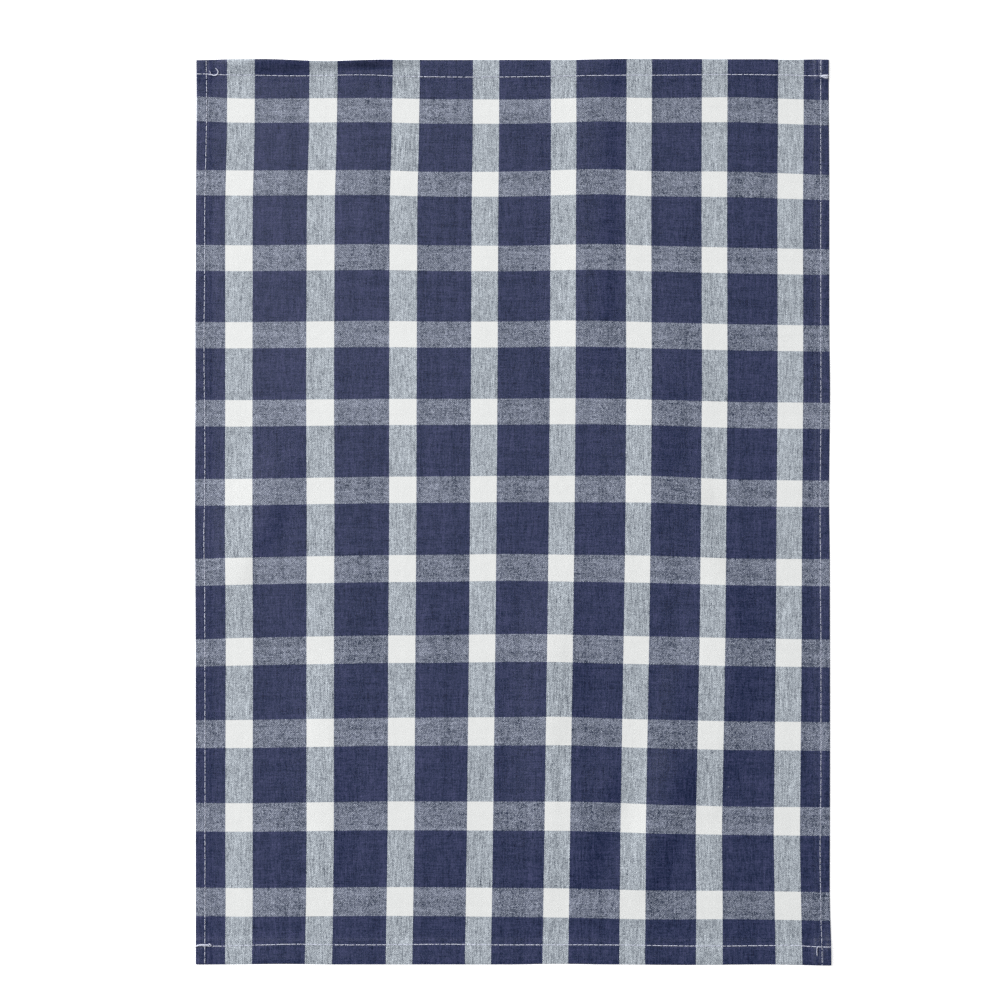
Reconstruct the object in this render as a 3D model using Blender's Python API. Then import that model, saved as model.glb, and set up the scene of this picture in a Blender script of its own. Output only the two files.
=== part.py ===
"""A check tea towel laid out flat, front face up: one sheet of cotton with a turned hem on all four sides.

The towel is modelled in metres. X runs across it, Y runs up its length and Z is up. The origin is on the
surface that it lies on, under the middle of the cloth. Places on the cloth are given as (across, down):
the distance from the left edge, and the distance from the top edge.
"""

import math

import bmesh
import bpy

# Finished size
WIDTH = 0.490
LENGTH = 0.700

# Thickness of the cloth, and what each turned hem adds to it
CLOTH_THICKNESS = 0.0010
HEM_RISE = 0.0010

# Hems: how wide each one is, and how far its line of stitches is from the edge
SIDE_HEM = 0.0085
SIDE_STITCH = 0.0067
TOP_HEM = 0.0135
TOP_STITCH = 0.0118
BOTTOM_HEM = 0.0160
BOTTOM_STITCH = 0.0142

# Section of a hem: its rounded outer fold, the trough its stitches pull, and the run down to the field
FOLD_ROUND = 0.0009
FOLD_LOW = 0.28
STITCH_TROUGH = 0.0003
TROUGH_HALF_WIDTH = 0.0012
INNER_FOLD_STEP = 0.0004
INNER_FOLD_LIFT = 0.0008
RUN_OUT = 0.0060

# How finely the field between the hems is divided
FIELD_STEP = 0.0090

# Every edge of the hem lifts a little off the surface
EDGE_LIFT = 0.0005

# Waves in the outline. Each row: edge, distance along it, reach to each side, shift outwards
OUTLINE_WAVES = (
    ("left", 0.030, 0.110, -0.0006),
    ("left", 0.340, 0.120, 0.0005),
    ("right", 0.020, 0.080, -0.0004),
    ("right", 0.255, 0.060, 0.0005),
    ("right", 0.340, 0.050, -0.0004),
    ("right", 0.700, 0.060, 0.0013),
    ("top", 0.000, 0.030, -0.0005),
    ("top", 0.100, 0.055, -0.0011),
    ("top", 0.380, 0.090, 0.0007),
    ("top", 0.460, 0.025, -0.0004),
    ("bottom", 0.065, 0.045, -0.0004),
    ("bottom", 0.280, 0.040, -0.0005),
    ("bottom", 0.380, 0.060, 0.0004),
    ("bottom", 0.490, 0.050, 0.0008),
)

# Stretches of hem that curl up further. Each row: edge, distance along it, reach to each side, lift
HEM_CURLS = (
    ("top", 0.078, 0.045, 0.0028),
    ("top", 0.128, 0.040, 0.0032),
    ("right", 0.680, 0.050, 0.0006),
)

# Soft ridges in the field. Each row: across and down at one end, the same at the other, half width, height
RIDGES = (
    (0.317, 0.010, 0.310, 0.215, 0.0130, 0.0009),
    (0.390, 0.344, 0.424, 0.449, 0.0130, 0.0008),
    (0.424, 0.449, 0.405, 0.545, 0.0130, 0.0008),
    (0.322, 0.565, 0.299, 0.634, 0.0120, 0.0007),
    (0.370, 0.561, 0.350, 0.634, 0.0120, 0.0009),
    (0.279, 0.464, 0.274, 0.572, 0.0160, 0.0009),
    (0.061, 0.333, 0.036, 0.387, 0.0120, 0.0006),
    (0.343, 0.282, 0.343, 0.321, 0.0220, 0.0006),
    (0.104, 0.538, 0.104, 0.603, 0.0120, 0.0005),
)

NAVY_COTTON = (0.042, 0.051, 0.105, 1.0)
COTTON_ROUGHNESS = 0.85


def clear_scene():
    for obj in list(bpy.data.objects):
        bpy.data.objects.remove(obj, do_unlink=True)


def bump(distance, reach):
    """1 at no distance, falling smoothly to 0 at the reach."""
    share = min(abs(distance) / reach, 1.0)
    return 0.5 + 0.5 * math.cos(math.pi * share)


def waves_at(table, edge, along):
    return sum(size * bump(along - centre, reach) for name, centre, reach, size in table if name == edge)


def hem_lines(hem, stitch):
    """Distances in from an edge at which a hem's section changes."""
    return (
        0.0,
        FOLD_ROUND,
        stitch - TROUGH_HALF_WIDTH,
        stitch,
        stitch + TROUGH_HALF_WIDTH,
        hem,
        hem + INNER_FOLD_STEP,
        hem + RUN_OUT / 2,
        hem + RUN_OUT,
    )


def grid_lines(size, first_hem, first_stitch, last_hem, last_stitch):
    """Places of the grid's lines from one edge to the other: the hems' own lines, and even ones between."""
    first = hem_lines(first_hem, first_stitch)
    last = [size - distance for distance in reversed(hem_lines(last_hem, last_stitch))]
    field = last[0] - first[-1]
    steps = round(field / FIELD_STEP)
    between = [first[-1] + field * step / steps for step in range(1, steps)]
    return [*first, *between, *last]


def hem_rise(distance, hem, stitch):
    """Extra thickness of the hem at a distance in from its edge."""
    if distance <= hem:
        return HEM_RISE - STITCH_TROUGH * bump(distance - stitch, TROUGH_HALF_WIDTH)
    return HEM_RISE * bump(distance - hem, RUN_OUT)


def inner_fold_lift(distance, hem):
    """How far the underside stands off the surface, where the cloth comes down from the hem's inner fold."""
    past = distance - hem
    if past <= 0.0:
        return 0.0
    if past <= INNER_FOLD_STEP:
        return INNER_FOLD_LIFT * past / INNER_FOLD_STEP
    return INNER_FOLD_LIFT * max(0.0, (RUN_OUT - past) / (RUN_OUT - INNER_FOLD_STEP))


def nearest_side(across):
    """The nearer of the side edges, the distance to it, and its hem's width and stitch distance."""
    if across < WIDTH / 2:
        return "left", across, SIDE_HEM, SIDE_STITCH
    return "right", WIDTH - across, SIDE_HEM, SIDE_STITCH


def nearest_end(down):
    """The nearer of the end edges, the distance to it, and its hem's width and stitch distance."""
    if down < LENGTH / 2:
        return "top", down, TOP_HEM, TOP_STITCH
    return "bottom", LENGTH - down, BOTTOM_HEM, BOTTOM_STITCH


def outward_share(distance, hem):
    """1 at the edge, falling evenly to 0 where the hem meets the field."""
    return max(0.0, 1.0 - distance / hem)


def curl_share(distance, hem):
    """1 at the edge and 0 where the hem meets the field, with most of the rise near the field."""
    return math.sin(math.pi / 2 * outward_share(distance, hem))


def ridge_height(across, down):
    total = 0.0
    for across_0, down_0, across_1, down_1, half_width, height in RIDGES:
        run = (across_1 - across_0, down_1 - down_0)
        length = math.hypot(*run)
        along = ((across - across_0) * run[0] + (down - down_0) * run[1]) / length
        beside = ((across - across_0) * run[1] - (down - down_0) * run[0]) / length
        past_end = max(-along, along - length, 0.0)
        total += height * bump(beside, half_width) * bump(past_end, 2 * half_width)
    return total


def edge_lift(across, down):
    """How far the whole thickness of the hem lifts off the surface."""
    side, side_distance, side_hem, _ = nearest_side(across)
    end, end_distance, end_hem, _ = nearest_end(down)
    side_lift = EDGE_LIFT + waves_at(HEM_CURLS, side, down)
    end_lift = EDGE_LIFT + waves_at(HEM_CURLS, end, across)
    return max(
        side_lift * curl_share(side_distance, side_hem),
        end_lift * curl_share(end_distance, end_hem),
    )


def sheet_heights(across, down):
    """Heights of the underside and of the front face at a place on the cloth."""
    _, side_distance, side_hem, side_stitch = nearest_side(across)
    _, end_distance, end_hem, end_stitch = nearest_end(down)
    side_rise = hem_rise(side_distance, side_hem, side_stitch)
    end_rise = hem_rise(end_distance, end_hem, end_stitch)
    low = inner_fold_lift(end_distance, end_hem)
    if end_distance > end_hem:
        low = max(low, inner_fold_lift(side_distance, side_hem))
    high = CLOTH_THICKNESS + side_rise + end_rise
    if min(side_distance, end_distance) < FOLD_ROUND:
        low = FOLD_LOW * high
        high = (1.0 - FOLD_LOW) * high
    lift = edge_lift(across, down)
    return low + lift, high + lift + ridge_height(across, down)


def place_on_surface(across, down):
    """X and Y of a place on the cloth. The outline's waves widen or narrow the hems round a straight field."""
    side, side_distance, side_hem, _ = nearest_side(across)
    end, end_distance, end_hem, _ = nearest_end(down)
    side_wave = waves_at(OUTLINE_WAVES, side, down) * outward_share(side_distance, side_hem)
    end_wave = waves_at(OUTLINE_WAVES, end, across) * outward_share(end_distance, end_hem)
    x = across - WIDTH / 2 + (side_wave if side == "right" else -side_wave)
    y = LENGTH / 2 - down + (end_wave if end == "top" else -end_wave)
    return x, y


def towel_mesh(name):
    """The sheet, from a flat grid that is extruded once and then shaped a vertex at a time."""
    columns = grid_lines(WIDTH, SIDE_HEM, SIDE_STITCH, SIDE_HEM, SIDE_STITCH)
    rows = grid_lines(LENGTH, TOP_HEM, TOP_STITCH, BOTTOM_HEM, BOTTOM_STITCH)
    bm = bmesh.new()
    bmesh.ops.create_grid(bm, x_segments=len(columns) - 1, y_segments=len(rows) - 1, size=0.5)
    raised = bmesh.ops.extrude_face_region(bm, geom=bm.faces[:])["geom"]
    front = {item for item in raised if isinstance(item, bmesh.types.BMVert)}
    for vert in bm.verts:
        across = columns[round((0.5 + vert.co.x) * (len(columns) - 1))]
        down = rows[round((0.5 - vert.co.y) * (len(rows) - 1))]
        underside_height, front_height = sheet_heights(across, down)
        x, y = place_on_surface(across, down)
        vert.co = (x, y, front_height if vert in front else underside_height)
    bmesh.ops.recalc_face_normals(bm, faces=bm.faces[:])
    mesh = bpy.data.meshes.new(name)
    bm.to_mesh(mesh)
    bm.free()
    return mesh


def cotton_material():
    material = bpy.data.materials.new("navy_check_cotton")
    material.use_nodes = True
    shader = material.node_tree.nodes["Principled BSDF"]
    shader.inputs["Base Color"].default_value = NAVY_COTTON
    shader.inputs["Roughness"].default_value = COTTON_ROUGHNESS
    shader.inputs["Metallic"].default_value = 0.0
    return material


def build_towel():
    collection = bpy.data.collections.new("tea_towel")
    bpy.context.scene.collection.children.link(collection)
    mesh = towel_mesh("towel_cloth")
    mesh.shade_smooth()
    mesh.materials.append(cotton_material())
    collection.objects.link(bpy.data.objects.new("towel_cloth", mesh))


clear_scene()
build_towel()
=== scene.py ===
"""A navy and white check tea towel laid flat, seen from straight above in soft studio light.

The towel is one thin sheet of yarn-dyed cotton twill. Its four hems are turned under twice, the sides first
and the ends over them, and sewn down. Everything is in metres. Places on the cloth are given as (across,
down): the distance from the left edge, and the distance from the top edge.
"""

import math

import bpy
import numpy as np
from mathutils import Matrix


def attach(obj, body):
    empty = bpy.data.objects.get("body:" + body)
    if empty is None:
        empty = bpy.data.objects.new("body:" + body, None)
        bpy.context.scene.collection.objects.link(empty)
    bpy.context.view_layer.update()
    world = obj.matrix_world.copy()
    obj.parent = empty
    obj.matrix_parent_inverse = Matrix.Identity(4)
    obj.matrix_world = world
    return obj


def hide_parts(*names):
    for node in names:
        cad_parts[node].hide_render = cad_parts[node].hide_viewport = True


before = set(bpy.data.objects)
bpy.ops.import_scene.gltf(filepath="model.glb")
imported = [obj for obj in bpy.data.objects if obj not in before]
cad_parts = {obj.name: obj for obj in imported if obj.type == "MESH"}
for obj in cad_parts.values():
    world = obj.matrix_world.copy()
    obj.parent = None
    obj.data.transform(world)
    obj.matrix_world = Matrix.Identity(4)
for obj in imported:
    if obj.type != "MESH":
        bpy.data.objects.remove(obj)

MM = 0.001

# Finished size, and the hems: how wide each one is, and how far its stitches are from the edge
WIDTH = 0.490
LENGTH = 0.700
SIDE_HEM = 0.0085
SIDE_STITCH = 0.0067
TOP_HEM = 0.0135
TOP_STITCH = 0.0120
BOTTOM_HEM = 0.0168
BOTTOM_STITCH = 0.0152

# The cloth's own thickness, the height that each layer of a hem takes, and the width tucked inside a hem
CLOTH = 0.00034
LAYER = 0.00037
TURN_UNDER = 0.0070

# How far past a hem its extra layers run out to nothing, and the share of its height that a corner loses
RUN_OUT = 0.0042
CORNER_SQUEEZE = 0.25

# How finely the sheet is divided: each folded part of a hem with its number of steps, the field's step, and
# the steps of a run-out
FOLDED_PARTS = (("middle", 3), ("inner", 4), ("back", 4), ("outer", 7))
FIELD_STEP = 0.0042
RUN_OUT_STEPS = 4

# The front of a hem: where it starts, its first step, where its even steps start, the longest that one may
# be, the steps to each side of the stitches, and the least distance from those to the inner fold
FRONT_START = 1.5 * LAYER
FIRST_STEP = 0.0007
EVEN_START = 0.0023
HEM_STEP = 0.0016
GROOVE_STEPS = 3
FOLD_GAP = MM / 4

# How much of its height a hem loses: at its outer fold, where it is stitched, at its inner fold, and in the
# groove of the stitches. The outer fold is pressed flatter over a width of its own
EDGE_SQUEEZE = 0.22
EDGE_REACH = 0.0042
STITCH_SQUEEZE = 0.18
FOLD_SQUEEZE = 0.46
GROOVE = 0.16
GROOVE_REACH = 0.0009

# Every edge lifts a little off the surface, from this share of the way out from the field
EDGE_LIFT = 0.0002
EDGE_LIFT_FROM = 0.42

# Waves in the outline. Each row: edge, distance along it, reach to each side, shift outwards
OUTLINE_WAVES = (
    ("left", 0.030, 0.110, -0.0006),
    ("left", 0.340, 0.120, 0.0005),
    ("left", 0.350, 1.000, 0.0005),
    ("left", 0.210, 0.045, 0.0002),
    ("right", 0.020, 0.080, -0.0004),
    ("right", 0.255, 0.060, 0.0005),
    ("right", 0.340, 0.050, -0.0004),
    ("right", 0.510, 0.330, 0.0006),
    ("right", 0.700, 0.060, 0.0013),
    ("top", 0.000, 0.030, -0.0005),
    ("top", 0.030, 0.110, 0.0004),
    ("top", 0.100, 0.055, -0.0011),
    ("top", 0.327, 0.045, 0.0005),
    ("top", 0.380, 0.090, 0.0007),
    ("top", 0.460, 0.025, -0.0004),
    ("top", 0.460, 0.060, 0.0006),
    ("bottom", 0.065, 0.045, -0.0004),
    ("bottom", 0.280, 0.040, -0.0005),
    ("bottom", 0.380, 0.060, 0.0004),
    ("bottom", 0.490, 0.050, 0.0008),
)

# Stretches of hem that curl up further. Each row: edge, distance along it, reach to each side, lift, and the
# share of the way out from the field at which the curl starts
HEM_CURLS = (
    ("top", 0.062, 0.056, 0.0058, 0.06),
    ("top", 0.130, 0.048, 0.0058, 0.46),
    ("right", 0.680, 0.050, 0.0006, 0.42),
)

# Waves in the lines of stitches. Each row: edge, distance along it, reach to each side, shift inwards
STITCH_WAVES = (
    ("left", 0.030, 0.100, 0.0014),
    ("left", 0.220, 0.060, -0.0004),
    ("left", 0.305, 0.045, 0.0003),
    ("left", 0.372, 0.030, -0.0005),
    ("left", 0.560, 0.240, 0.0003),
    ("right", 0.350, 0.080, 0.0005),
    ("right", 0.415, 0.030, 0.0003),
    ("right", 0.610, 0.060, 0.0006),
    ("right", 0.700, 0.040, -0.0006),
    ("top", 0.000, 0.035, -0.0010),
    ("top", 0.077, 0.035, 0.0004),
    ("top", 0.130, 0.035, -0.0008),
    ("top", 0.215, 0.130, 0.0014),
    ("top", 0.415, 0.060, -0.0005),
    ("top", 0.490, 0.035, 0.0006),
    ("bottom", 0.015, 0.045, -0.0010),
    ("bottom", 0.079, 0.030, 0.0005),
    ("bottom", 0.190, 0.050, 0.0005),
    ("bottom", 0.400, 0.090, -0.0009),
    ("bottom", 0.485, 0.030, -0.0014),
)

# Soft ridges in the field. Each row: across and down at one end, the same at the other, reach to the left and
# to the right, height
RIDGES = (
    (0.316, 0.010, 0.309, 0.215, 0.045, 0.017, 0.0011),
    (0.386, 0.345, 0.413, 0.428, 0.060, 0.021, 0.0013),
    (0.416, 0.472, 0.402, 0.544, 0.060, 0.023, 0.0014),
    (0.317, 0.568, 0.300, 0.620, 0.060, 0.016, 0.0017),
    (0.372, 0.561, 0.352, 0.628, 0.034, 0.017, 0.0020),
    (0.273, 0.464, 0.268, 0.572, 0.032, 0.040, 0.0014),
    (0.372, 0.486, 0.366, 0.540, 0.020, 0.014, 0.0007),
    (0.062, 0.333, 0.037, 0.387, 0.050, 0.021, 0.0013),
    (0.350, 0.282, 0.350, 0.321, 0.040, 0.030, 0.0010),
    (0.103, 0.500, 0.103, 0.610, 0.034, 0.019, 0.0010),
)

# Left edge of each white stripe of the warp, in mm across, at these places in mm down the cloth
WARP_STRIPES_DOWN = (0, 60, 110, 250, 360, 450, 600, 650, 700)
WARP_STRIPES = (
    (24.1, 23.9, 22.5, 22.6, 22.3, 23.0, 22.6, 22.9, 22.4),
    (87.9, 87.3, 85.7, 85.1, 85.6, 85.4, 85.5, 85.1, 84.1),
    (152.4, 151.3, 149.8, 149.4, 149.4, 148.7, 148.2, 147.5, 146.7),
    (214.3, 214.1, 213.3, 212.7, 211.9, 211.2, 209.5, 208.8, 208.0),
    (274.4, 274.7, 274.4, 273.8, 272.9, 271.7, 269.5, 268.8, 267.9),
    (333.2, 332.9, 332.5, 332.9, 332.2, 330.8, 328.3, 327.9, 327.3),
    (391.5, 391.2, 391.1, 391.5, 390.5, 389.6, 386.5, 387.1, 386.6),
    (450.4, 450.2, 449.8, 450.1, 449.1, 448.7, 446.9, 447.7, 448.4),
)

# Top edge of each white stripe of the weft, in mm down, at these places in mm across the cloth
WEFT_STRIPES_ACROSS = (0, 35, 140, 180, 245, 280, 315, 350, 420, 490)
WEFT_STRIPES = (
    (28.2, 30.2, 29.4, 30.5, 30.7, 30.2, 28.7, 29.7, 28.8, 31.4),
    (85.3, 85.6, 85.2, 86.8, 86.6, 85.4, 84.3, 86.3, 86.4, 89.3),
    (143.1, 143.6, 142.5, 143.5, 144.0, 143.1, 142.3, 143.8, 145.4, 146.7),
    (202.9, 203.0, 201.9, 202.6, 202.5, 201.5, 201.9, 203.0, 204.7, 205.7),
    (263.1, 263.4, 262.3, 262.4, 262.2, 261.8, 262.0, 262.9, 264.8, 265.4),
    (324.3, 324.3, 322.6, 322.4, 321.9, 321.8, 321.7, 321.7, 325.0, 325.7),
    (386.2, 385.2, 383.3, 383.1, 382.2, 382.9, 383.1, 383.6, 386.0, 386.3),
    (448.5, 447.3, 445.3, 445.3, 444.2, 444.5, 445.5, 446.1, 447.4, 448.7),
    (510.9, 510.9, 509.1, 508.9, 508.6, 508.0, 509.5, 510.5, 511.9, 512.4),
    (574.9, 575.3, 573.8, 573.8, 574.0, 573.8, 574.4, 576.1, 578.0, 578.4),
    (640.4, 641.0, 640.1, 640.2, 640.8, 641.0, 641.7, 642.8, 643.0, 644.1),
)

# A stripe's edge is the average of its places at these distances along it, in mm, so that it bends smoothly
STRIPE_SMOOTHING = (-12, -6, 0, 6, 12)

# The weave: the size of a repeat of the check, its yarns across (ends) and down (picks), how many of them are
# white, and the yarns in a repeat of the twill
REPEAT = 0.061
ENDS = 143
WHITE_ENDS = 48
PICKS = 119
WHITE_PICKS = 40
TWILL = 3

# Linear colours of the cotton: white on white, white over navy in the warp and in the weft, and navy. White
# over navy is darker than white on white, partly from navy fibres showing and partly from painted shade
# between yarns
WHITE_COTTON = (0.702, 0.715, 0.708)
SHADED_WHITE_WARP_OVER_NAVY = (0.470, 0.520, 0.557)
SHADED_WHITE_WEFT_OVER_NAVY = (0.399, 0.439, 0.503)
NAVY_COTTON = (0.017, 0.025, 0.075)

# How far each yarn on top keeps its own colour, from 0 for the average of its surroundings to 1
FLOAT_CONTRAST = 0.5

# What is added to a colour as it gets as light again as it was: lighter spots turn less blue, partly as pale
# worn fibres that are less blue than the dye, and partly as a painted sheen
FIBRE_AND_SHEEN_TINT = (0.010, 0.000, -0.024)

# The darkest that unevenness makes a yarn, as a share of its colour
LEAST_UNEVENNESS = -0.92

# Unevenness of the yarns, and a painted sheen in the last row. Each row: what varies, and by how much in
# white warp over navy, in white weft under navy, in navy, and in white
UNEVENNESS_AND_SHEEN = (
    ("cell", 0.42, 0.69, 0.53, 0.010),
    ("grain", 0.14, 0.24, 0.27, 0.006),
    ("blotch", 0.05, 0.13, 0.10, 0.005),
    ("warp_streak", 0.32, 0.20, 0.42, 0.012),
    ("weft_streak", 0.06, 0.22, 0.30, 0.006),
    ("warp_line", 0.10, 0.21, 0.28, 0.014),
    ("weft_line", 0.05, 0.19, 0.16, 0.010),
    # Painted sheen: lighter towards the top left, darker towards the bottom right, in navy and white weft
    # only
    ("painted_sheen", 0.00, 0.08, 0.06, 0.000),
)

# Swells of unevenness. Each row: what varies, its size across and down the cloth, its seed, and its detail
SWELLS = (
    ("grain", 0.0015, 0.0015, 31.9, 0.0),
    ("blotch", 0.0036, 0.0036, 47.3, 0.0),
    ("warp_line", 0.0065, 0.1600, 71.3, 2.0),
    ("weft_line", 0.1600, 0.0065, 83.1, 2.0),
)

# Streaks along single yarns: their length, the step of the noise from one yarn to the next, and their seed
WARP_STREAK = (0.009, 7.31, 3.7)
WEFT_STREAK = (0.012, 5.17, 11.3)

# Painted sheen, lighter towards the top left where the lamps shine from: its amount at the first white
# stripes, and what it gains in each repeat of the check across and down
PAINTED_SHEEN_START = 1.44
PAINTED_SHEEN_ACROSS = -0.25
PAINTED_SHEEN_DOWN = -0.08

# Relief of the cloth: strength and depth of the yarns' bump and of a softer one, and that one's size and seed
YARN_RELIEF = (0.25, 0.00010)
SOFT_RELIEF = (1.0, 0.00004)
SOFT_SIZE = 0.011
SOFT_SEED = 53.9

# How rough and how shiny the cotton is
COTTON_ROUGHNESS = 0.45
COTTON_SHINE = 0.38

# Lines of stitches. Each row: edge, distance in from it, distance from one stitch to the next, how much of
# that the thread covers, the thread's thickness, how uneven the stitches are, and the seed of that
SEAMS = (
    ("left", SIDE_STITCH, 0.00503, 0.86, 0.00045, 0.05, 10),
    ("right", SIDE_STITCH, 0.00475, 0.87, 0.00037, 0.06, 20),
    ("top", TOP_STITCH, 0.00450, 0.93, 0.00052, 0.08, 30),
    ("bottom", BOTTOM_STITCH, 0.00410, 0.93, 0.00056, 0.08, 40),
)

# Stitches: the sides and the steps of a thread's tube, where the first one starts as a share of the distance
# between them, how much shorter or longer they get for their unevenness, and how far they stray sideways
TUBE_SIDES = 6
STITCH_STEPS = 7
FIRST_STITCH = 0.12
STITCH_SPREAD = (-1.5, 1.0)
SEAM_DRIFT = 0.00006

# Shape of a stitch, in shares of its thread's thickness: its depth in front and at the back, its thickness at
# its ends, and in front its height over the cloth at its ends and what it gains in the middle
FRONT_FLATTEN = 0.85
UNDER_FLATTEN = 0.55
STITCH_END = 0.84
FRONT_END_HEIGHT = -0.15
FRONT_ARCH = 0.60

# The same heights at the back, in shares of half the stitch's depth, and the power that blunts every arch
UNDER_END_HEIGHT = 1.6
UNDER_ARCH = -0.6
ARCH_POWER = 0.4

# Sewing thread: its lit colour on the crests of the plies and its colour of painted shade in the grooves
# between them, its usual shade between them, its twist in turns to a mm, and how much the twist shades it
THREAD_CREST_LIT = (0.70, 0.73, 0.84)
THREAD_GROOVE_SHADED = (0.46, 0.48, 0.60)
THREAD_SHADE = 0.6
PLY_TWIST = 1.2
PLY_SHADING = 0.3

# How much chance shades the thread, its swells to a mm, and its seed
CHANCE_SHADING = 0.4
CHANCE_PER_MM = 0.35
CHANCE_SEED = 5.0

# Strength and depth of the plies' bump, the thread's roughness, and the length in mm of the thread that the
# stitches are pieces of
PLY_RELIEF = (0.5, 0.00004)
THREAD_ROUGHNESS = 0.5
THREAD_LENGTH = 900.0

# Loose ends of thread: the steps between points of their paths, their thickness at their ends, and their
# height over the cloth, both in shares of the thickness in the middle
LOOSE_STEPS = 6
LOOSE_END = 0.55
LOOSE_HEIGHT = 0.4

# Each row: where the end is, its thickness, and its path as (across, down, height over the cloth)
LOOSE_THREADS = (
    (
        "top left loop",
        0.00066,
        (
            (0.0082, 0.0108, 0.0),
            (0.0101, 0.0115, 0.0001),
            (0.0125, 0.0118, 0.0002),
            (0.0146, 0.0123, 0.0003),
            (0.0162, 0.0114, 0.0003),
            (0.0171, 0.0094, 0.0003),
            (0.0163, 0.0080, 0.0002),
            (0.0150, 0.0066, 0.0001),
        ),
    ),
    ("top left", 0.00045, ((0.0103, 0.0088, 0.0), (0.0111, 0.0101, 0.0001), (0.0121, 0.0118, 0.0001))),
    ("top right", 0.00190, ((0.4836, 0.0129, 0.0), (0.4860, 0.0126, 0.0002), (0.4894, 0.0124, 0.0))),
    ("top right low", 0.00130, ((0.4842, 0.0131, 0.0), (0.4866, 0.0138, 0.0001), (0.4892, 0.0141, 0.0))),
    ("bottom left", 0.00140, ((-0.0004, 0.6864, 0.0), (0.0030, 0.6849, 0.0001), (0.0106, 0.6849, 0.0))),
    ("bottom left knot", 0.00120, ((0.0098, 0.6838, 0.0), (0.0110, 0.6845, 0.0002), (0.0119, 0.6856, 0.0))),
    (
        "bottom right",
        0.00060,
        (
            (0.4833, 0.6861, 0.0),
            (0.4813, 0.6859, 0.0001),
            (0.4806, 0.6866, 0.0002),
            (0.4803, 0.6880, 0.0002),
            (0.4803, 0.6903, 0.0001),
            (0.4804, 0.6929, 0.0),
        ),
    ),
    ("lint", 0.00035, ((0.4116, 0.5625, 0.0001), (0.4118, 0.5627, 0.0001), (0.4121, 0.5628, 0.0001))),
)

# Camera, straight above. The picture's middle is this far from the cloth's middle
CAMERA_X = -0.009865
CAMERA_Y = 0.009400
CAMERA_HEIGHT = 4.299
LENS_MM = 200
SENSOR_MM = 36

# The floor: its width, its two pale greys, the scale of its clouds, its roughness, and the light it gives off
FLOOR_SIZE = 20.0
FLOOR_PALE = ((0.91, 0.91, 0.91), (0.94, 0.94, 0.94))
FLOOR_CLOUDS = 0.8
FLOOR_ROUGHNESS = 0.9
FLOOR_GLOW = 0.6

# Soft lamps. Each row: name, direction from the cloth, distance, width, power
LAMPS = (
    ("side lamp", (-0.70, 0.30, 0.648), 12.5, 3.3, 1345.0),
    ("near lamp", (-0.34, 0.18, 0.923), 2.4, 0.6, 10.6),
)

# Light from all round, and the share of it that is lost overhead, between these heights of its direction.
# The slant makes it brighter on one side than on the other
SKY_STRENGTH = 0.986
SKY_DIM = 0.95
SKY_DIM_FROM = 0.40
SKY_DIM_TO = 0.85
SKY_SLANT = (-0.45, 0.55, 0.0)

# The square map that holds both faces: the corner and the size of the front's part of it, and of the back's
BAKE_FRONT = ((0.01, 0.01), (0.61, 0.98))
BAKE_BACK = ((0.64, 0.01), (0.35, 0.98))


def bump(distance, reach):
    """1 at no distance, falling smoothly to 0 at the reach."""
    return 0.5 + 0.5 * np.cos(np.pi * np.minimum(np.abs(distance) / reach, 1.0))


def waves_at(table, edge, along):
    total = np.zeros_like(along)
    for name, centre, reach, size in table:
        if name == edge:
            total += size * bump(along - centre, reach)
    return total


def hem_rise(distance, hem):
    """How much of a hem's two extra layers lies under a place: all of them in it, none past the run-out."""
    return bump(np.maximum(distance - hem, 0.0), RUN_OUT)


def hem_stations(hem, stitch):
    """Stations from the cloth's cut end to the field. Each is (part, share of it, or its distance in)."""
    folded = [(part, step / steps) for part, steps in FOLDED_PARTS for step in range(steps, 0, -1)]
    wander = 3 * GROOVE_REACH / 2
    groove = [stitch + wander * step / GROOVE_STEPS for step in range(-GROOVE_STEPS, GROOVE_STEPS + 1)]
    distances = (
        FRONT_START,
        FRONT_START + FIRST_STEP,
        *np.linspace(EVEN_START, stitch - wander, math.ceil(stitch / HEM_STEP))[:-1],
        *[distance for distance in groove if distance < hem - FOLD_GAP],
        *[hem + RUN_OUT * step / RUN_OUT_STEPS for step in range(RUN_OUT_STEPS + 1)],
    )
    return folded + [("front", distance) for distance in distances]


def stations(size, first_hem, first_stitch, last_hem, last_stitch):
    """All stations from one edge to the other. Each is (counts from the first edge, part, at)."""
    first = hem_stations(first_hem, first_stitch)
    last = hem_stations(last_hem, last_stitch)
    start = first[-1][1]
    field = size - start - last[-1][1]
    steps = round(field / FIELD_STEP)
    found = [(True, part, at) for part, at in first]
    for step in range(1, steps):
        distance = start + field * step / steps
        from_first = distance < size / 2
        found.append((from_first, "front", distance if from_first else size - distance))
    found += [(False, part, at) for part, at in reversed(last)]
    return found


def layer_place(part, at, hem, stack):
    """Distance in from the edge, height and tilt at a station of a hem with layers as thick as a stack."""
    half = stack / 2
    outer = 3 * half
    inner = hem - half
    turn = np.pi * at
    if part == "outer":
        return outer - stack * np.sin(turn), outer + stack * np.cos(turn), turn
    if part == "back":
        return outer + (inner - outer) * at, half, np.pi
    if part == "inner":
        return inner + half * np.sin(turn), stack - half * np.cos(turn), np.pi + turn
    if part == "middle":
        return inner + (hem - TURN_UNDER - inner) * at, outer, 2 * np.pi
    if at < hem:
        distance = outer + (at - FRONT_START) * (hem - outer) / (hem - FRONT_START)
    else:
        distance = at
    return distance, half + 2 * stack * hem_rise(at, hem), 0.0


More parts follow.
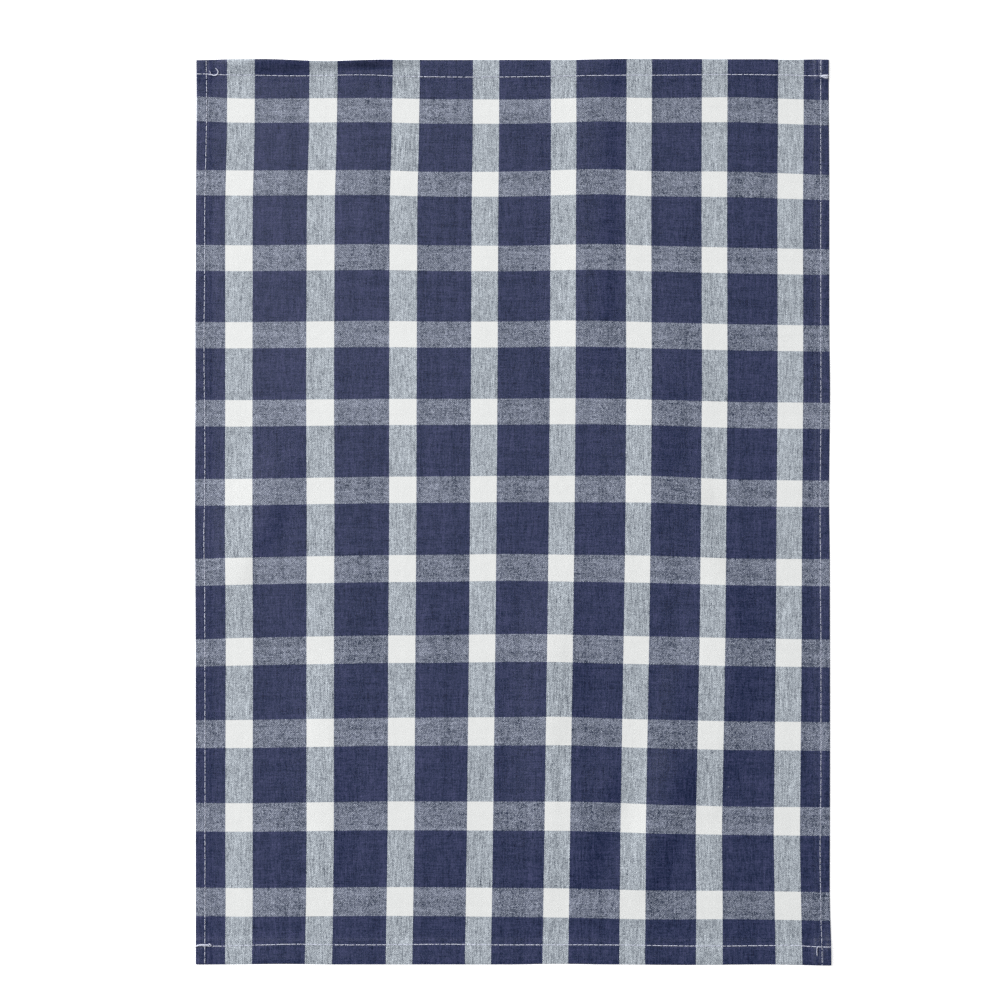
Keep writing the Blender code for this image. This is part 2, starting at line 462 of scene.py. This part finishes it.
def flat_place(part, at, hem):
    """Distance in from the finished edge along the cloth itself, below zero where it is turned under."""
    half = LAYER / 2
    inner = hem - half
    back_start = FRONT_START - np.pi * LAYER
    inner_start = back_start - (inner - FRONT_START)
    middle_start = inner_start - np.pi * half
    if part == "outer":
        return FRONT_START - np.pi * LAYER * at
    if part == "back":
        return back_start - (inner - FRONT_START) * at
    if part == "inner":
        return inner_start - np.pi * half * at
    if part == "middle":
        return middle_start - (inner - hem + TURN_UNDER) * at
    return at


def each_edge(across, down):
    """Each edge's name, distance from it, distance along it, hem and stitch distance."""
    return (
        ("left", across, down, SIDE_HEM, SIDE_STITCH),
        ("right", WIDTH - across, down, SIDE_HEM, SIDE_STITCH),
        ("top", down, across, TOP_HEM, TOP_STITCH),
        ("bottom", LENGTH - down, across, BOTTOM_HEM, BOTTOM_STITCH),
    )


def hem_squeeze(across, down):
    """The share of its height that a hem loses to its stitches and to pressing."""
    most = np.zeros_like(across)
    for edge, distance, along, hem, stitch in each_edge(across, down):
        line = stitch + waves_at(STITCH_WAVES, edge, along)
        at_edge = EDGE_SQUEEZE * bump(distance, EDGE_REACH)
        to_line = STITCH_SQUEEZE * np.clip(distance / line, 0.0, 1.0)
        to_fold = (FOLD_SQUEEZE - STITCH_SQUEEZE) * np.clip((distance - line) / (hem - line), 0.0, 1.0)
        to_field = FOLD_SQUEEZE * np.clip((distance - hem) / RUN_OUT, 0.0, 1.0)
        groove = GROOVE * bump(distance - line, GROOVE_REACH)
        most = np.maximum(most, at_edge + to_line + to_fold - to_field + groove)
    return most


def bend(outward, start):
    """0 as far out as the start, then rising to 1 at the edge, in a curve that is flat at both ends."""
    share = np.clip((outward - start) / (1.0 - start), 0.0, 1.0)
    return 0.5 - 0.5 * np.cos(np.pi * share)


def edge_lift(across, down):
    """How far the whole thickness of a hem lifts off the surface."""
    lift = np.zeros_like(across)
    for edge, distance, along, hem, _ in each_edge(across, down):
        outward = 1.0 - distance / hem
        height = EDGE_LIFT * bend(outward, EDGE_LIFT_FROM)
        for name, centre, reach, size, start in HEM_CURLS:
            if name == edge:
                height += size * bump(along - centre, reach) * bend(outward, start)
        lift = np.maximum(lift, height)
    return lift


def ridge_height(across, down):
    total = np.zeros_like(across)
    for across_0, down_0, across_1, down_1, left_reach, right_reach, height in RIDGES:
        run = (across_1 - across_0, down_1 - down_0)
        length = math.hypot(*run)
        along = ((across - across_0) * run[0] + (down - down_0) * run[1]) / length
        beside = ((across - across_0) * run[1] - (down - down_0) * run[0]) / length
        past_end = np.maximum(np.maximum(-along, along - length), 0.0)
        reach = np.where(beside < 0, left_reach, right_reach)
        total += height * bump(beside, reach) * bump(past_end, 2 * right_reach)
    return total


def outline_shift(across, down):
    """How far the outline's waves move a place on the cloth, to the right and upwards."""
    outward = {
        edge: waves_at(OUTLINE_WAVES, edge, along) * np.clip(1.0 - distance / hem, 0.0, 1.0)
        for edge, distance, along, hem, _ in each_edge(across, down)
    }
    return outward["right"] - outward["left"], outward["top"] - outward["bottom"]


def placed(across, down, loose_height):
    """Points in space of places on the cloth, from the height that loose flat layers would give them."""
    height = loose_height * (1 - hem_squeeze(across, down))
    height = height + edge_lift(across, down) + ridge_height(across, down)
    right, up = outline_shift(across, down)
    return np.stack([across - WIDTH / 2 + right, LENGTH / 2 - down + up, height], axis=-1)


def stripe_repeats(place, along, table_places, table):
    """Repeats of the check before a place, counted from the first white stripe, from the stripes' edges."""
    offsets = [
        [np.interp(along / MM + offset, table_places, row) for offset in STRIPE_SMOOTHING] for row in table
    ]
    edges = np.mean(offsets, axis=1) * MM
    before = np.minimum((place - edges[0]) / (edges[1] - edges[0]), 0.0)
    after = np.maximum((place - edges[-1]) / (edges[-1] - edges[-2]), 0.0)
    between = [np.clip((place - low) / (high - low), 0.0, 1.0) for low, high in zip(edges, edges[1:])]
    return before + sum(between) + after


def sheet_face(columns, rows, face):
    """Points, thread coordinates and flat places of one face of the sheet: 1 is the front, -1 the back."""
    count = len(columns)
    across = np.empty(count)
    height = np.empty(count)
    rise = np.empty(count)
    flat_across = np.empty(count)
    for index, (from_first, part, at) in enumerate(columns):
        distance, middle, tilt = layer_place(part, at, SIDE_HEM, LAYER)
        distance = distance - math.sin(tilt) * face * CLOTH / 2
        flat = flat_place(part, at, SIDE_HEM)
        across[index] = distance if from_first else WIDTH - distance
        flat_across[index] = flat if from_first else WIDTH - flat
        height[index] = middle + math.cos(tilt) * face * CLOTH / 2
        rise[index] = hem_rise(at, SIDE_HEM) if part == "front" else 1.0
    stack = LAYER * (1 + 2 * rise)

    down = np.empty((len(rows), count))
    z = np.empty((len(rows), count))
    flat_down = np.empty(len(rows))
    for index, (from_first, part, at) in enumerate(rows):
        hem = TOP_HEM if from_first else BOTTOM_HEM
        row_rise = hem_rise(at, hem) if part == "front" else 1.0
        squeezed = stack * (1 - CORNER_SQUEEZE * rise * row_rise)
        offset = height * squeezed / stack - squeezed / 2
        distance, middle, tilt = layer_place(part, at, hem, squeezed)
        distance = distance - np.sin(tilt) * offset
        flat = flat_place(part, at, hem)
        down[index] = distance if from_first else LENGTH - distance
        flat_down[index] = flat if from_first else LENGTH - flat
        z[index] = middle + np.cos(tilt) * offset

    across = np.broadcast_to(across, down.shape)
    flat_across, flat_down = np.meshgrid(flat_across, flat_down)
    points = placed(across, down, z)
    right, up = outline_shift(across, down)
    threads = np.stack(
        [
            stripe_repeats(flat_across + right, flat_down - up, WARP_STRIPES_DOWN, WARP_STRIPES),
            stripe_repeats(flat_down - up, flat_across + right, WEFT_STRIPES_ACROSS, WEFT_STRIPES),
        ],
        axis=-1,
    )
    return points, threads, np.stack([flat_across, flat_down], axis=-1)


def grid_faces(rows, columns, start, flip):
    index = start + np.arange(rows * columns).reshape(rows, columns)
    corners = [index[:-1, :-1], index[1:, :-1], index[1:, 1:], index[:-1, 1:]]
    if flip:
        corners.reverse()
    return np.stack(corners, axis=-1).reshape(-1, 4)


def rim_faces(rows, columns):
    """Faces that join the front's border to the back's, all the way round."""
    index = np.arange(rows * columns).reshape(rows, columns)
    border = np.concatenate([index[0, :-1], index[:-1, -1], index[-1, :0:-1], index[:0:-1, 0]])
    following = np.roll(border, -1)
    below = rows * columns
    return np.stack([border, following, following + below, border + below], axis=-1)


def mesh_object(name, points, faces):
    mesh = bpy.data.meshes.new(name)
    mesh.from_pydata(points.tolist(), [], faces)
    mesh.shade_smooth()
    mesh.update()
    obj = bpy.data.objects.new(name, mesh)
    bpy.context.scene.collection.objects.link(obj)
    return obj


def set_uv(mesh, name, uv_of_points):
    layer = mesh.uv_layers.new(name=name)
    corners = np.empty(len(mesh.loops), dtype=np.int32)
    mesh.loops.foreach_get("vertex_index", corners)
    layer.uv.foreach_set("vector", uv_of_points[corners].astype(np.float32).ravel())


def set_point_number(mesh, name, numbers):
    attribute = mesh.attributes.new(name, "FLOAT", "POINT")
    attribute.data.foreach_set("value", numbers.astype(np.float32).ravel())


def bake_map(flat_front, flat_back):
    """Places of both faces in one square: the front in the left part, and the back in the rest."""
    low = flat_front.min(axis=(0, 1))
    span = flat_front.max(axis=(0, 1)) - low
    places = [
        (corner + (flat - low) / span * size).reshape(-1, 2)
        for flat, (corner, size) in ((flat_front, BAKE_FRONT), (flat_back, BAKE_BACK))
    ]
    return np.concatenate(places) * (1, -1) + (0, 1)


def make_cloth():
    columns = stations(WIDTH, SIDE_HEM, SIDE_STITCH, SIDE_HEM, SIDE_STITCH)
    rows = stations(LENGTH, TOP_HEM, TOP_STITCH, BOTTOM_HEM, BOTTOM_STITCH)
    front, front_threads, front_flat = sheet_face(columns, rows, 1)
    back, back_threads, back_flat = sheet_face(columns, rows, -1)
    points = np.concatenate([front.reshape(-1, 3), back.reshape(-1, 3)])
    faces = np.concatenate(
        [
            grid_faces(len(rows), len(columns), 0, flip=False),
            grid_faces(len(rows), len(columns), len(rows) * len(columns), flip=True),
            rim_faces(len(rows), len(columns)),
        ]
    )
    cloth = mesh_object("tea_towel_cloth", points, faces.tolist())
    threads = np.concatenate([front_threads.reshape(-1, 2), back_threads.reshape(-1, 2)])
    set_uv(cloth.data, "threads", threads)
    set_uv(cloth.data, "OFBake", bake_map(front_flat, back_flat))
    half = len(rows) * len(columns)
    set_point_number(cloth.data, "underside", np.repeat((0.0, 1.0), half))
    return cloth


class Value:
    """A number worked out by a material's nodes, so that it can be written as ordinary arithmetic."""

    def __init__(self, tree, socket):
        self.tree = tree
        self.socket = socket

    def math(self, operation, *others):
        node = self.tree.nodes.new("ShaderNodeMath")
        node.operation = operation
        for index, value in enumerate((self, *others)):
            plug(self.tree, node.inputs[index], value)
        return Value(self.tree, node.outputs[0])

    def __add__(self, other):
        return self.math("ADD", other)

    def __sub__(self, other):
        return self.math("SUBTRACT", other)

    def __mul__(self, other):
        return self.math("MULTIPLY", other)

    def __mod__(self, other):
        return self.math("FLOORED_MODULO", other)

    def floor(self):
        return self.math("FLOOR")

    def less_than(self, other):
        return self.math("LESS_THAN", other)

    def opposite(self):
        return (self * -1.0) + 1.0

    def distance_to(self, other):
        return (self - other).math("ABSOLUTE")


def plug(tree, socket, value):
    if isinstance(value, Value):
        tree.links.new(value.socket, socket)
    else:
        socket.default_value = value


def total_of(values):
    values = list(values)
    return sum(values[1:], values[0])


def vector(tree, x, y, z=0.0):
    node = tree.nodes.new("ShaderNodeCombineXYZ")
    for socket, value in zip(node.inputs, (x, y, z)):
        plug(tree, socket, value)
    return node.outputs[0]


def noise(tree, x, y, z=0.0, detail=0.0):
    """Smooth noise about 0, roughly between -1 and 1, with one swell to each unit of its coordinates."""
    node = tree.nodes.new("ShaderNodeTexNoise")
    tree.links.new(vector(tree, x, y, z), node.inputs["Vector"])
    node.inputs["Scale"].default_value = 1.0
    node.inputs["Detail"].default_value = detail
    return (Value(tree, node.outputs["Fac"]) - 0.5) * 4.0


def random_number(tree, x, seed):
    """A different number between -1 and 1 for each whole x."""
    node = tree.nodes.new("ShaderNodeTexWhiteNoise")
    node.noise_dimensions = "2D"
    tree.links.new(vector(tree, x, seed), node.inputs["Vector"])
    return (Value(tree, node.outputs["Value"]) - 0.5) * 2.0


def blend_colour(tree, share, first, second):
    node = tree.nodes.new("ShaderNodeMix")
    node.data_type = "RGBA"
    plug(tree, node.inputs["Factor"], share)
    for socket, colour in ((node.inputs["A"], first), (node.inputs["B"], second)):
        if isinstance(colour, tuple):
            socket.default_value = (*colour, 1.0)
        else:
            tree.links.new(colour, socket)
    return node.outputs["Result"]


def scaled_colour(tree, colour, factor):
    node = tree.nodes.new("ShaderNodeVectorMath")
    node.operation = "SCALE"
    tree.links.new(colour, node.inputs[0])
    plug(tree, node.inputs["Scale"], factor)
    return node.outputs[0]


def added_colour(tree, colour, extra, factor):
    """A colour with this much of another one added, and nothing in it below zero."""
    node = tree.nodes.new("ShaderNodeVectorMath")
    node.operation = "MULTIPLY_ADD"
    node.inputs[0].default_value = extra
    tree.links.new(vector(tree, factor, factor, factor), node.inputs[1])
    tree.links.new(colour, node.inputs[2])
    above = tree.nodes.new("ShaderNodeVectorMath")
    above.operation = "MAXIMUM"
    tree.links.new(node.outputs[0], above.inputs[0])
    return above.outputs[0]


def new_material(name):
    material = bpy.data.materials.new(name)
    material.use_nodes = True
    tree = material.node_tree
    return material, tree, tree.nodes["Principled BSDF"]


def uv_numbers(tree, name):
    node = tree.nodes.new("ShaderNodeUVMap")
    node.uv_map = name
    split = tree.nodes.new("ShaderNodeSeparateXYZ")
    tree.links.new(node.outputs[0], split.inputs[0])
    return Value(tree, split.outputs[0]), Value(tree, split.outputs[1])


def attribute_number(tree, name):
    node = tree.nodes.new("ShaderNodeAttribute")
    node.attribute_name = name
    return Value(tree, node.outputs["Fac"])


def bump_normal(tree, height, strength, distance, under=None):
    """A bump as deep as the distance where the height is 1, laid over another one if that is given."""
    node = tree.nodes.new("ShaderNodeBump")
    node.inputs["Strength"].default_value = strength
    node.inputs["Distance"].default_value = distance
    plug(tree, node.inputs["Height"], height)
    if under is not None:
        tree.links.new(under, node.inputs["Normal"])
    return node.outputs[0]


def cloth_material():
    material, tree, shader = new_material("yarn_dyed_cotton_check")
    u, v = uv_numbers(tree, "threads")
    underside = attribute_number(tree, "underside").math("ROUND")
    end_place = u * ENDS
    pick_place = v * PICKS
    end = end_place.floor()
    pick = pick_place.floor()
    white_warp = (end % ENDS).less_than(WHITE_ENDS)
    white_weft = (pick % PICKS).less_than(WHITE_PICKS)

    warp_on_front = ((end - pick) % TWILL).less_than(1.5)
    warp_on_top = warp_on_front.distance_to(underside)
    weft_on_top = warp_on_top.opposite()
    top_is_white = white_warp * warp_on_top + white_weft * weft_on_top
    warp_cover = underside * (-1 / TWILL) + 2 / TWILL
    mean_white = white_warp * warp_cover + white_weft * warp_cover.opposite()
    white_share = mean_white + (top_is_white - mean_white) * FLOAT_CONTRAST

    both = white_warp * white_weft
    only_warp = white_warp * white_weft.opposite()
    only_weft = white_weft * white_warp.opposite()
    neither = white_warp.opposite() * white_weft.opposite()

    warp_length, warp_unlike, warp_seed = WARP_STREAK
    weft_length, weft_unlike, weft_seed = WEFT_STREAK
    sources = {
        name: noise(tree, u * (REPEAT / across), v * (REPEAT / down), seed, detail)
        for name, across, down, seed, detail in SWELLS
    }
    sources["cell"] = random_number(tree, end, pick)
    sources["warp_streak"] = noise(tree, end * warp_unlike, v * (REPEAT / warp_length), warp_seed)
    sources["weft_streak"] = noise(tree, u * (REPEAT / weft_length), pick * weft_unlike, weft_seed)
    # Painted sheen: a slope that is lighter towards the top left and darker towards the bottom right
    sources["painted_sheen"] = u * PAINTED_SHEEN_ACROSS + v * PAINTED_SHEEN_DOWN + PAINTED_SHEEN_START
    zones = (only_warp, only_weft, neither, both)
    unevenness = total_of(
        sources[name] * total_of(zone * amount for zone, amount in zip(zones, amounts))
        for name, *amounts in UNEVENNESS_AND_SHEEN
    )

    # White over navy holds painted shade between the yarns as well as navy showing through
    light = blend_colour(tree, only_warp, SHADED_WHITE_WEFT_OVER_NAVY, SHADED_WHITE_WARP_OVER_NAVY)
    light = blend_colour(tree, both, light, WHITE_COTTON)
    colour = blend_colour(tree, white_share, NAVY_COTTON, light)
    unevenness = unevenness.math("MAXIMUM", LEAST_UNEVENNESS)
    colour = scaled_colour(tree, colour, unevenness + 1.0)
    # Lighter spots turn less blue: partly pale worn fibres, partly a painted sheen
    colour = added_colour(tree, colour, FIBRE_AND_SHEEN_TINT, unevenness)
    tree.links.new(colour, shader.inputs["Base Color"])

    end_round = ((end_place - end) - 0.5).math("POWER", 2.0) * -4.0 + 1.0
    pick_round = ((pick_place - pick) - 0.5).math("POWER", 2.0) * -4.0 + 1.0
    yarn_height = warp_on_top * end_round + weft_on_top * pick_round
    soft_height = noise(tree, u * (REPEAT / SOFT_SIZE), v * (REPEAT / SOFT_SIZE), SOFT_SEED, detail=2.0)
    soft = bump_normal(tree, soft_height, *SOFT_RELIEF)
    tree.links.new(bump_normal(tree, yarn_height, *YARN_RELIEF, soft), shader.inputs["Normal"])
    shader.inputs["Roughness"].default_value = COTTON_ROUGHNESS
    shader.inputs["Specular IOR Level"].default_value = COTTON_SHINE
    return material


def thread_material():
    """White sewing thread: two plies that wind round each other, with painted shade in the grooves between
    them.
    """
    material, tree, shader = new_material("white_sewing_thread")
    along, round_it = uv_numbers(tree, "thread")
    ply = ((along * PLY_TWIST + round_it) * (4 * math.pi)).math("SINE")
    chance = noise(tree, along * CHANCE_PER_MM, round_it, CHANCE_SEED, detail=1.0)
    shade = ply * PLY_SHADING + chance * CHANCE_SHADING + THREAD_SHADE
    # Painted shade: the thread is darker in the grooves of its twist and lighter on the crests
    tree.links.new(blend_colour(tree, shade, THREAD_GROOVE_SHADED, THREAD_CREST_LIT), shader.inputs["Base Color"])
    tree.links.new(bump_normal(tree, ply, *PLY_RELIEF), shader.inputs["Normal"])
    shader.inputs["Roughness"].default_value = THREAD_ROUGHNESS
    return material


def floor_material():
    """A pale matt floor that glows a little, so that it stays white round the cloth."""
    material, tree, shader = new_material("pale_floor")
    place = tree.nodes.new("ShaderNodeNewGeometry").outputs["Position"]
    cloud = tree.nodes.new("ShaderNodeTexNoise")
    cloud.inputs["Scale"].default_value = FLOOR_CLOUDS
    tree.links.new(place, cloud.inputs["Vector"])
    share = Value(tree, cloud.outputs["Fac"])
    tree.links.new(blend_colour(tree, share, *FLOOR_PALE), shader.inputs["Base Color"])
    shader.inputs["Roughness"].default_value = FLOOR_ROUGHNESS
    shader.inputs["Specular IOR Level"].default_value = 0.0
    shader.inputs["Emission Color"].default_value = (1.0, 1.0, 1.0, 1.0)
    shader.inputs["Emission Strength"].default_value = FLOOR_GLOW
    return material


def tube(path, radius, flatten=1.0, start=0.0):
    """Points, faces and thread coordinates (mm along from a start, share round) of a closed round tube."""
    path = np.asarray(path, dtype=float)
    count = len(path)
    radii = np.broadcast_to(radius, count)[:, None, None]
    along = np.gradient(path, axis=0)
    along /= np.linalg.norm(along, axis=1, keepdims=True)
    side = np.cross(along, (0.0, 0.0, 1.0))
    side /= np.linalg.norm(side, axis=1, keepdims=True)
    over = np.cross(side, along) * flatten
    turns = np.arange(TUBE_SIDES) * 2 * math.pi / TUBE_SIDES
    ring = np.cos(turns)[None, :, None] * side[:, None] + np.sin(turns)[None, :, None] * over[:, None]
    points = (path[:, None] + radii * ring).reshape(-1, 3)
    run = start + np.concatenate([[0.0], np.cumsum(np.linalg.norm(np.diff(path, axis=0), axis=1))]) / MM
    faces = []
    coordinates = []
    for step in range(count - 1):
        for turn in range(TUBE_SIDES):
            following = (turn + 1) % TUBE_SIDES
            low = step * TUBE_SIDES
            high = low + TUBE_SIDES
            faces.append((low + turn, low + following, high + following, high + turn))
            ends = ((step, turn), (step, turn + 1), (step + 1, turn + 1), (step + 1, turn))
            coordinates += [(run[place], part / TUBE_SIDES) for place, part in ends]
    for low, order in ((0, -1), ((count - 1) * TUBE_SIDES, 1)):
        faces.append(tuple(range(low, low + TUBE_SIDES))[::order])
        coordinates += [(run[0 if low == 0 else -1], 0.5)] * TUBE_SIDES
    return points, faces, coordinates


def joined_tubes(name, tubes):
    points = []
    faces = []
    coordinates = []
    total = 0
    for tube_points, tube_faces, tube_coordinates in tubes:
        points.append(tube_points)
        faces += [tuple(index + total for index in face) for face in tube_faces]
        coordinates += tube_coordinates
        total += len(tube_points)
    obj = mesh_object(name, np.concatenate(points), faces)
    layer = obj.data.uv_layers.new(name="thread")
    layer.uv.foreach_set("vector", np.array(coordinates, dtype=np.float32).ravel())
    return obj


def loose_front(across, down):
    """Height of the front face over a place, before the hem is squeezed."""
    side_rise = np.maximum(hem_rise(across, SIDE_HEM), hem_rise(WIDTH - across, SIDE_HEM))
    end_rise = np.maximum(hem_rise(down, TOP_HEM), hem_rise(LENGTH - down, BOTTOM_HEM))
    stack = LAYER * (1 + 2 * side_rise) * (1 - CORNER_SQUEEZE * side_rise * end_rise)
    return stack * (1 + 2 * end_rise) - (LAYER - CLOTH) / 2


def along_edge(edge, distance, along):
    """Places (across, down) that lie at a distance in from an edge."""
    if edge == "left":
        return distance, along
    if edge == "right":
        return WIDTH - distance, along
    if edge == "top":
        return along, distance
    return along, LENGTH - distance


def arch_of(share):
    """0 at both ends of a thread and 1 in its middle, rising steeply."""
    return np.sin(np.pi * share) ** ARCH_POWER


def seam(edge, stitch, pitch, cover, width, unevenness, seed, underside):
    """The stitches of one hem, on one face of the cloth."""
    random = np.random.default_rng(seed + underside)
    length = WIDTH if edge in ("top", "bottom") else LENGTH
    tubes = []
    for number in range(math.ceil(length / pitch)):
        start = (number + FIRST_STITCH + random.uniform(-1.0, 1.0) * unevenness) * pitch
        size = min(pitch * cover * (1 + random.uniform(*STITCH_SPREAD) * unevenness), length - start)
        share = np.linspace(0.0, 1.0, STITCH_STEPS + 1)
        along = start + size * share
        drift = random.uniform(-1.0, 1.0, 2) * SEAM_DRIFT
        distance = stitch + waves_at(STITCH_WAVES, edge, along) + np.interp(share, (0, 1), drift)
        across, down = along_edge(edge, distance, along)
        arch = arch_of(share)
        if underside:
            flatten = UNDER_FLATTEN
            points = placed(across, down, np.full_like(along, (LAYER - CLOTH) / 2))
            points[:, 2] += width * flatten / 2 * (UNDER_END_HEIGHT + UNDER_ARCH * arch)
        else:
            flatten = FRONT_FLATTEN
            points = placed(across, down, loose_front(across, down))
            points[:, 2] += width * (FRONT_END_HEIGHT + FRONT_ARCH * arch)
        radius = width / 2 * (STITCH_END + (1 - STITCH_END) * arch)
        tubes.append(tube(points, radius, flatten, start=random.uniform(0.0, THREAD_LENGTH)))
    return tubes


def make_stitches(name, underside):
    return joined_tubes(name, [stitch for row in SEAMS for stitch in seam(*row, underside)])


def smooth_path(points, steps):
    """A Catmull-Rom curve through points."""
    points = np.asarray(points, dtype=float)
    padded = np.concatenate([[2 * points[0] - points[1]], points, [2 * points[-1] - points[-2]]])
    found = []
    for first, second, third, fourth in zip(padded, padded[1:], padded[2:], padded[3:]):
        for share in np.arange(steps) / steps:
            found.append(
                second
                + 0.5 * share * (third - first)
                + share**2 * (first - 2.5 * second + 2 * third - 0.5 * fourth)
                + share**3 * (1.5 * (second - third) + 0.5 * (fourth - first))
            )
    return np.array([*found, points[-1]])


def make_loose_threads():
    """Ends of sewing thread at the corners, lying on the cloth."""
    tubes = []
    for _, width, places in LOOSE_THREADS:
        across, down, clear = smooth_path(places, LOOSE_STEPS).T
        points = placed(across, down, loose_front(across, down))
        points[:, 2] += clear + width * LOOSE_HEIGHT
        arch = arch_of(np.linspace(0.0, 1.0, len(points)))
        tubes.append(tube(points, width / 2 * (LOOSE_END + (1 - LOOSE_END) * arch)))
    return joined_tubes("loose_threads", tubes)


def make_floor():
    half = FLOOR_SIZE / 2
    corners = np.array([(-half, -half, 0), (half, -half, 0), (half, half, 0), (-half, half, 0)])
    floor = mesh_object("floor", corners, [(0, 1, 2, 3)])
    floor.data.materials.append(floor_material())


def make_sky():
    """Light from all round, slanted, and dimmed overhead so that the cloth mirrors less of it."""
    world = bpy.data.worlds.new("studio")
    bpy.context.scene.world = world
    world.use_nodes = True
    tree = world.node_tree
    direction = tree.nodes.new("ShaderNodeTexCoord").outputs["Generated"]
    split = tree.nodes.new("ShaderNodeSeparateXYZ")
    tree.links.new(direction, split.inputs[0])
    overhead = tree.nodes.new("ShaderNodeMapRange")
    overhead.interpolation_type = "SMOOTHSTEP"
    overhead.inputs["From Min"].default_value = SKY_DIM_FROM
    overhead.inputs["From Max"].default_value = SKY_DIM_TO
    overhead.inputs["To Min"].default_value = SKY_STRENGTH
    overhead.inputs["To Max"].default_value = SKY_STRENGTH * (1 - SKY_DIM)
    tree.links.new(split.outputs[2], overhead.inputs["Value"])
    slant = tree.nodes.new("ShaderNodeVectorMath")
    slant.operation = "DOT_PRODUCT"
    slant.inputs[0].default_value = SKY_SLANT
    tree.links.new(direction, slant.inputs[1])
    strength = (Value(tree, slant.outputs["Value"]) + 1.0) * Value(tree, overhead.outputs[0])
    plug(tree, tree.nodes["Background"].inputs["Strength"], strength)
    tree.nodes["Background"].inputs["Color"].default_value = (1.0, 1.0, 1.0, 1.0)


def make_lamps():
    for name, direction, distance, size, power in LAMPS:
        light = bpy.data.lights.new(name, "AREA")
        light.size = size
        light.energy = power
        lamp = bpy.data.objects.new(name, light)
        lamp.location = np.array(direction) / np.linalg.norm(direction) * distance
        lamp.rotation_euler = (lamp.location * -1.0).to_track_quat("-Z", "Y").to_euler()
        bpy.context.scene.collection.objects.link(lamp)


def make_camera():
    camera = bpy.data.cameras.new("camera")
    camera.lens = LENS_MM
    camera.sensor_width = SENSOR_MM
    holder = bpy.data.objects.new("camera", camera)
    holder.location = (CAMERA_X, CAMERA_Y, CAMERA_HEIGHT)
    bpy.context.scene.collection.objects.link(holder)
    bpy.context.scene.camera = holder


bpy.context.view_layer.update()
bpy.context.scene.view_settings.view_transform = "Standard"
bpy.context.scene.cycles.use_denoising = False
make_camera()
make_sky()
make_lamps()
make_floor()
cloth = make_cloth()
cloth.data.materials.append(cloth_material())
front_stitches = make_stitches("front_stitches", underside=False)
back_stitches = make_stitches("back_stitches", underside=True)
loose_threads = make_loose_threads()
sewing = [front_stitches, back_stitches, loose_threads]
thread = thread_material()
for piece in sewing:
    piece.data.materials.append(thread)
for piece in [cloth, *sewing]:
    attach(piece, "root")
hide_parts("towel_cloth")
